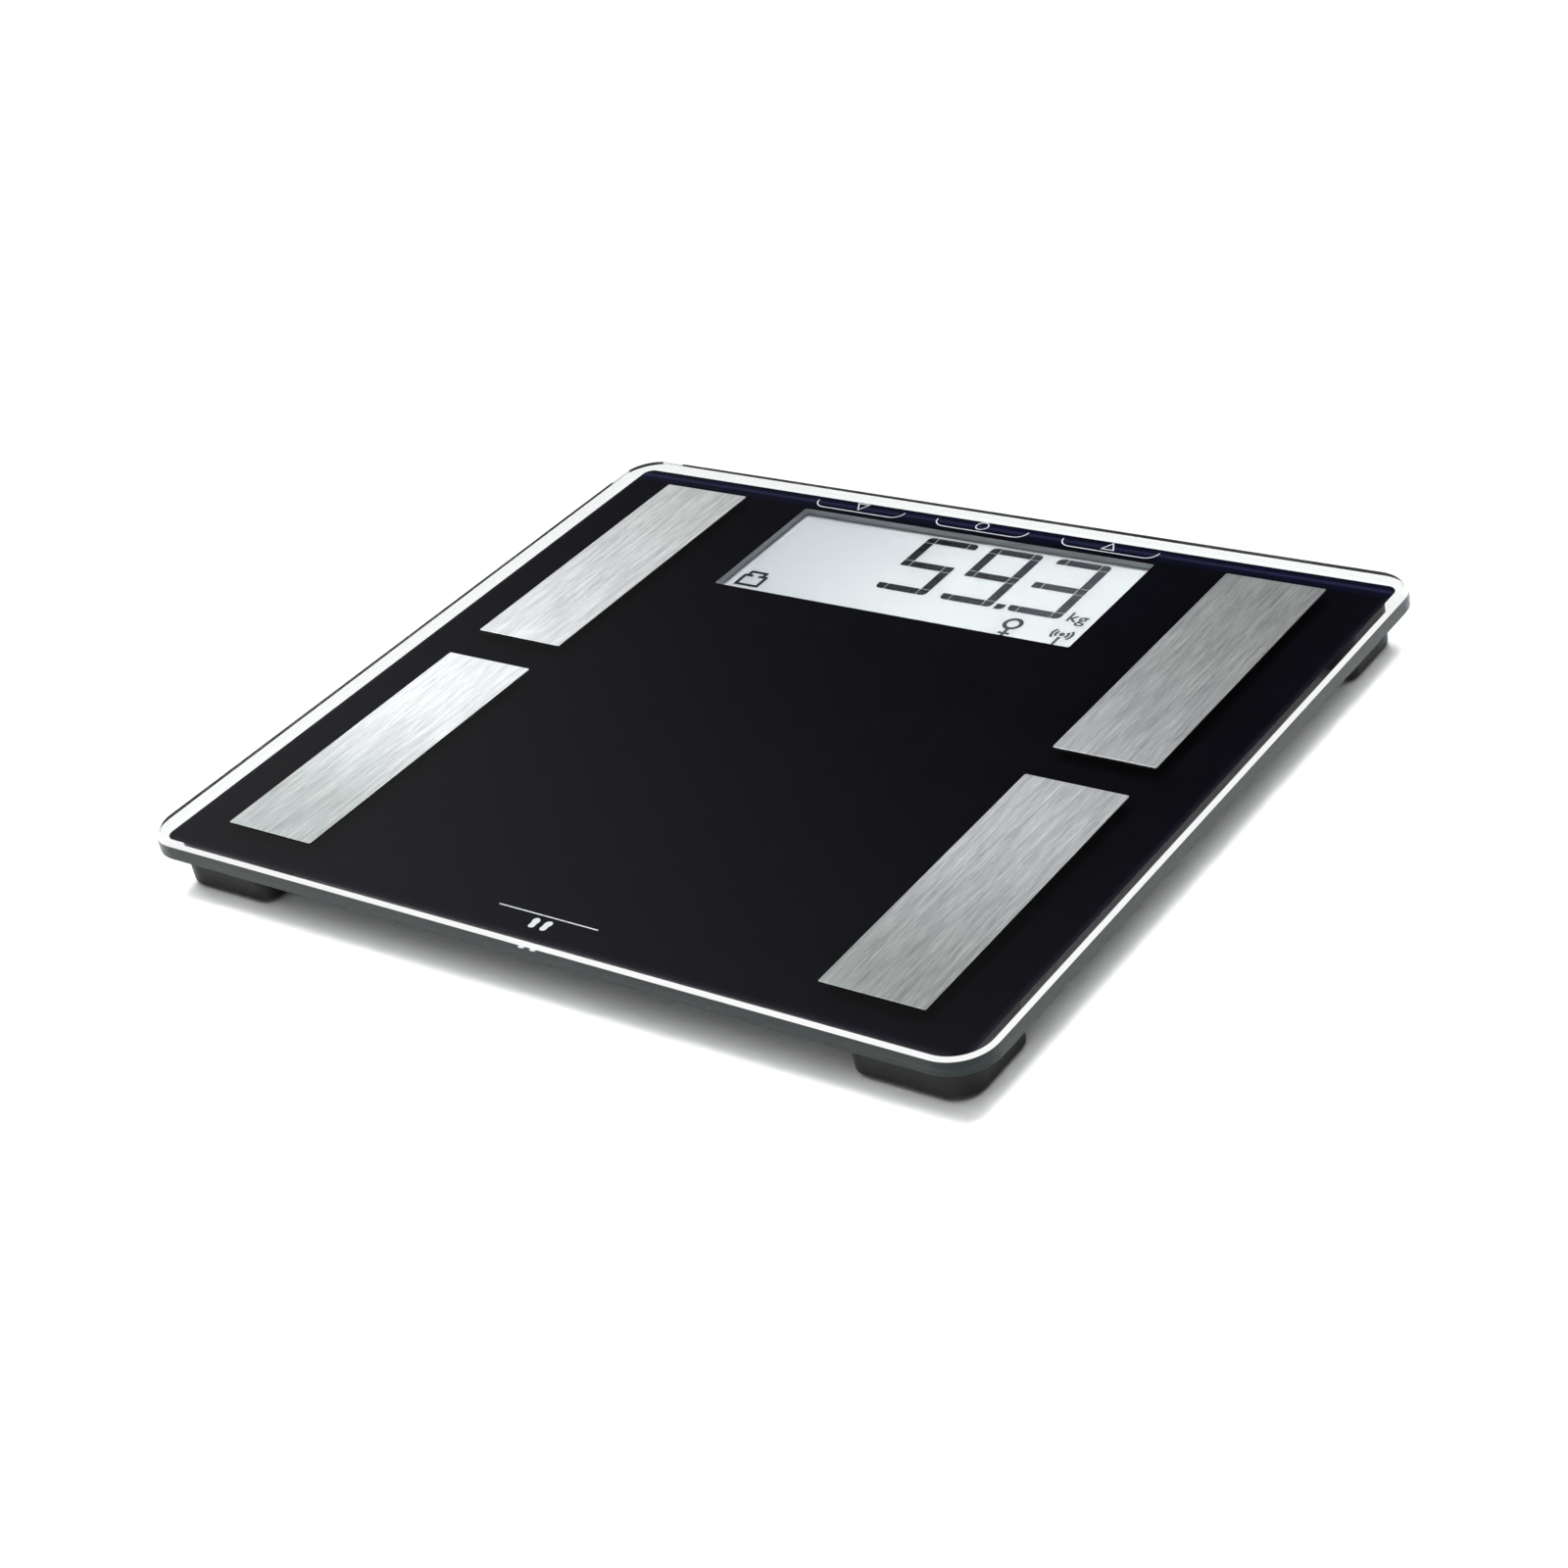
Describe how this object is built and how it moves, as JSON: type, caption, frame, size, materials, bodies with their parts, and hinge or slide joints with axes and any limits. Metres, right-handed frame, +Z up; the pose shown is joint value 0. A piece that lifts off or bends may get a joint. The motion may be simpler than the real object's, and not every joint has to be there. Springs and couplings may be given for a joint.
{
  "type": "digital bathroom scale",
  "caption": "Glass-topped body-analysis scale with flat steel electrodes, a segment display under the glass, rear push keys and sprung load-cell feet.",
  "frame": {"origin": "on the floor, under the centre of the glass", "axes": "+X to the user's right, +Y towards the display edge, +Z up"},
  "size_m": [0.31, 0.2624, 0.02],
  "materials": {
    "glass": "clear tempered float glass, ground and polished edges",
    "ink": "near-black screen print seen through the glass",
    "electrode_steel": "brushed along Y",
    "pin_brass": "plain",
    "foot_plastic": "satin black",
    "sole_rubber": "matt",
    "cell_steel": "stamped and plated",
    "gauge_cover": "white sealant",
    "bracket_plastic": "matt",
    "tape": "foam adhesive tape",
    "housing_plastic": "fine spark-eroded texture",
    "key_plastic": "satin",
    "door_plastic": "fine spark-eroded texture",
    "frame_plastic": "pale grey",
    "lcd_glass": "display cell",
    "reflector_film": "matt silver film",
    "zebra_rubber": "layered conductive rubber",
    "board": "solder mask",
    "chip_resin": "moulded resin",
    "shield_steel": "tinned can",
    "switch_plastic": "moulded",
    "plunger_plastic": "moulded",
    "screw_steel": "zinc plated",
    "battery_can": "plain sleeve with no lettering",
    "contact_steel": "nickel plated spring steel",
    "lead_jacket": "soft PVC",
    "wire_jacket": "soft PVC",
    "clip_plastic": "moulded"
  },
  "bodies": {
    "platform": {"glass_platform": "glass", "underside_print": "ink", "electrode_contact_pins": "pin_brass", "bracket_tapes": "tape", "electrode_front_left": "electrode_steel", "foot_bracket_front_left": "bracket_plastic", "sensor_lead_front_left": "lead_jacket", "electrode_lead_front_left": "wire_jacket", "electrode_front_right": "electrode_steel", "foot_bracket_front_right": "bracket_plastic", "sensor_lead_front_right": "lead_jacket", "electrode_lead_front_right": "wire_jacket", "electrode_rear_left": "electrode_steel", "foot_bracket_rear_left": "bracket_plastic", "sensor_lead_rear_left": "lead_jacket", "electrode_lead_rear_left": "wire_jacket", "electrode_rear_right": "electrode_steel", "foot_bracket_rear_right": "bracket_plastic", "sensor_lead_rear_right": "lead_jacket", "electrode_lead_rear_right": "wire_jacket", "lead_clips": "clip_plastic", "housing_rim": "housing_plastic", "housing_tape": "tape", "housing_cover": "housing_plastic", "cover_screws": "screw_steel", "display_frame": "frame_plastic", "lcd_cell": "lcd_glass", "lcd_reflector": "reflector_film", "zebra_connector": "zebra_rubber", "circuit_board": "board", "controller_chip": "chip_resin", "radio_module": "shield_steel", "key_switches": "switch_plastic", "battery_front": "battery_can", "battery_middle": "battery_can", "battery_rear": "battery_can", "battery_contacts": "contact_steel"},
    "foot_front_left": {"foot_cup_front_left": "foot_plastic", "foot_sole_front_left": "sole_rubber", "load_cell_front_left": "cell_steel", "strain_gauge_front_left": "gauge_cover"},
    "foot_front_right": {"foot_cup_front_right": "foot_plastic", "foot_sole_front_right": "sole_rubber", "load_cell_front_right": "cell_steel", "strain_gauge_front_right": "gauge_cover"},
    "foot_rear_left": {"foot_cup_rear_left": "foot_plastic", "foot_sole_rear_left": "sole_rubber", "load_cell_rear_left": "cell_steel", "strain_gauge_rear_left": "gauge_cover"},
    "foot_rear_right": {"foot_cup_rear_right": "foot_plastic", "foot_sole_rear_right": "sole_rubber", "load_cell_rear_right": "cell_steel", "strain_gauge_rear_right": "gauge_cover"},
    "key_left_group": {"key_left": "key_plastic", "switch_plunger_left": "plunger_plastic"},
    "key_middle_group": {"key_middle": "key_plastic", "switch_plunger_middle": "plunger_plastic"},
    "key_right_group": {"key_right": "key_plastic", "switch_plunger_right": "plunger_plastic"},
    "battery_door_group": {"battery_door": "door_plastic"}
  },
  "joints": [
    {"name": "foot_front_left_travel", "type": "slide", "parent": "platform", "child": "foot_front_left", "axis": [0, 0, 1], "range_m": [0, 0.0004], "stiffness_N_per_m": 2000, "springref_m": -0.004},
    {"name": "foot_front_right_travel", "type": "slide", "parent": "platform", "child": "foot_front_right", "axis": [0, 0, 1], "range_m": [0, 0.0004], "stiffness_N_per_m": 2000, "springref_m": -0.004},
    {"name": "foot_rear_left_travel", "type": "slide", "parent": "platform", "child": "foot_rear_left", "axis": [0, 0, 1], "range_m": [0, 0.0004], "stiffness_N_per_m": 2000, "springref_m": -0.004},
    {"name": "foot_rear_right_travel", "type": "slide", "parent": "platform", "child": "foot_rear_right", "axis": [0, 0, 1], "range_m": [0, 0.0004], "stiffness_N_per_m": 2000, "springref_m": -0.004},
    {"name": "key_left_press", "type": "slide", "parent": "platform", "child": "key_left_group", "axis": [0, -1, 0], "range_m": [0, 0.0008], "stiffness_N_per_m": 250, "springref_m": -0.001},
    {"name": "key_middle_press", "type": "slide", "parent": "platform", "child": "key_middle_group", "axis": [0, -1, 0], "range_m": [0, 0.0008], "stiffness_N_per_m": 250, "springref_m": -0.001},
    {"name": "key_right_press", "type": "slide", "parent": "platform", "child": "key_right_group", "axis": [0, -1, 0], "range_m": [0, 0.0008], "stiffness_N_per_m": 250, "springref_m": -0.001},
    {"name": "battery_door_tip", "type": "hinge", "parent": "platform", "child": "battery_door_group", "pos_m": [-0.0021, 0.05535, 0.0018], "axis": [1, 0, 0], "range_deg": [0, 80]}
  ]
}
